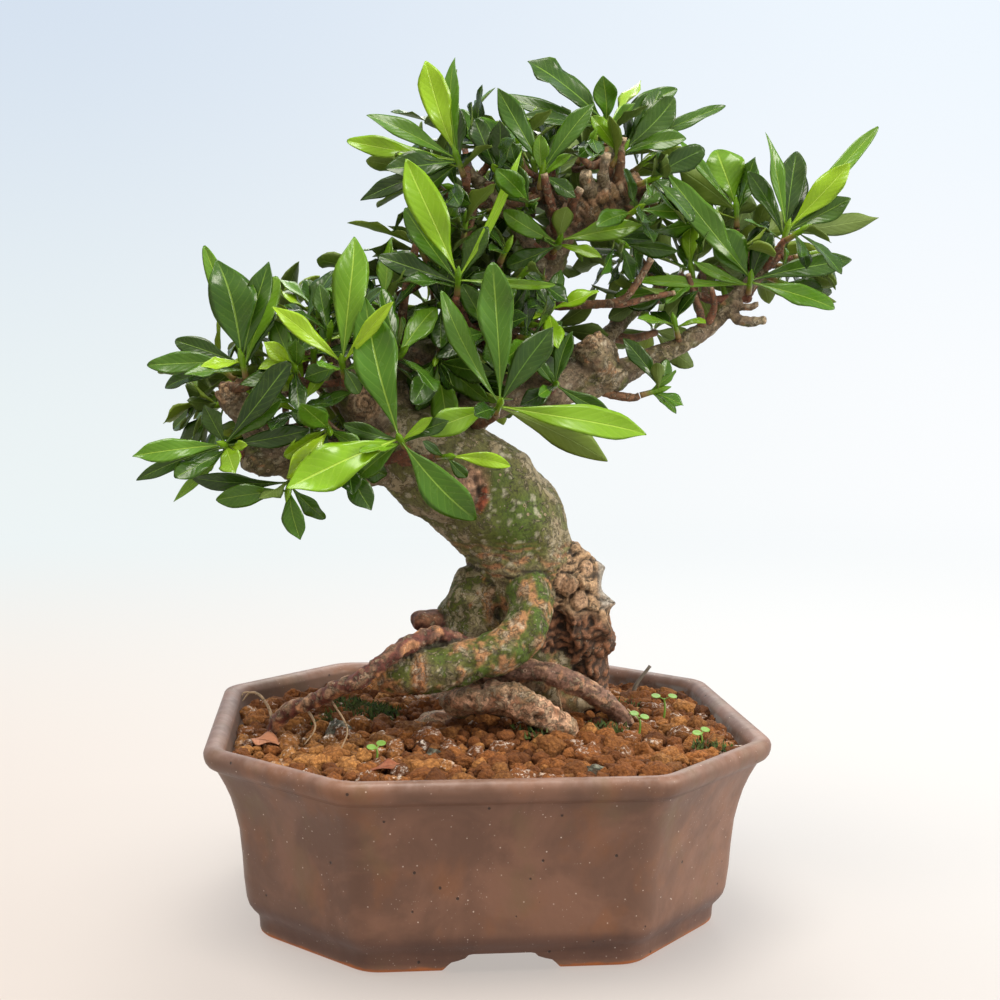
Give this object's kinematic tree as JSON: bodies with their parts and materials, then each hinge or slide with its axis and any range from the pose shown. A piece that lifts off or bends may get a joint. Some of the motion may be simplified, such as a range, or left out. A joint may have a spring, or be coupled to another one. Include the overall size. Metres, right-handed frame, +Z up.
{
  "type": "gardenia bonsai",
  "caption": "Gardenia bonsai with an exposed-root trunk and glossy evergreen leaf sprays, planted in granular soil in an eight-sided unglazed stoneware pot.",
  "frame": {"origin": "middle of the pot's underside, at the level of its foot", "axes": "+X to the right and +Y to the back as the plant is seen from its front, +Z up along the tree"},
  "size_m": [0.3015, 0.216, 0.3375],
  "materials": {
    "stoneware": "satin",
    "soil": "matte",
    "bark": "matte",
    "leaf": "gloss",
    "dry_leaf": "matte",
    "screen": "matte",
    "wire": "satin"
  },
  "bodies": {
    "root": {"drain_screen": "screen", "fallen_leaf_front": "dry_leaf", "fallen_leaf_left": "dry_leaf", "pot": "stoneware", "screen_wire": "wire", "seedling_1": "leaf", "seedling_2": "leaf", "seedling_3": "leaf", "seedling_4": "leaf", "soil": "soil", "spray_centre_back": "leaf", "spray_centre_back_low": "leaf", "spray_centre_front": "leaf", "spray_crown_centre": "leaf", "spray_crown_far_left": "leaf", "spray_crown_front": "leaf", "spray_crown_left": "leaf", "spray_crown_lower": "leaf", "spray_crown_mid": "leaf", "spray_crown_rear": "leaf", "spray_crown_rear_left": "leaf", "spray_crown_rear_right": "leaf", "spray_crown_right": "leaf", "spray_crown_top": "leaf", "spray_front_bright": "leaf", "spray_front_dark": "leaf", "spray_front_low": "leaf", "spray_hanging_left": "leaf", "spray_hanging_middle": "leaf", "spray_left_back": "leaf", "spray_left_back_low": "leaf", "spray_left_far": "leaf", "spray_left_high": "leaf", "spray_left_inner": "leaf", "spray_left_low": "leaf", "spray_left_rear": "leaf", "spray_left_top": "leaf", "spray_limb_small": "leaf", "spray_limb_under": "leaf", "spray_middle_back": "leaf", "spray_middle_bright": "leaf", "spray_middle_front": "leaf", "spray_middle_left": "leaf", "spray_middle_top": "leaf", "spray_right_end_back": "leaf", "spray_right_fork": "leaf", "spray_right_high": "leaf", "spray_right_inner": "leaf", "spray_right_low": "leaf", "spray_right_middle": "leaf", "spray_right_rear": "leaf", "spray_right_rear_low": "leaf", "spray_upper_bright": "leaf", "stick": "bark", "tree": "bark"}
  },
  "joints": []
}
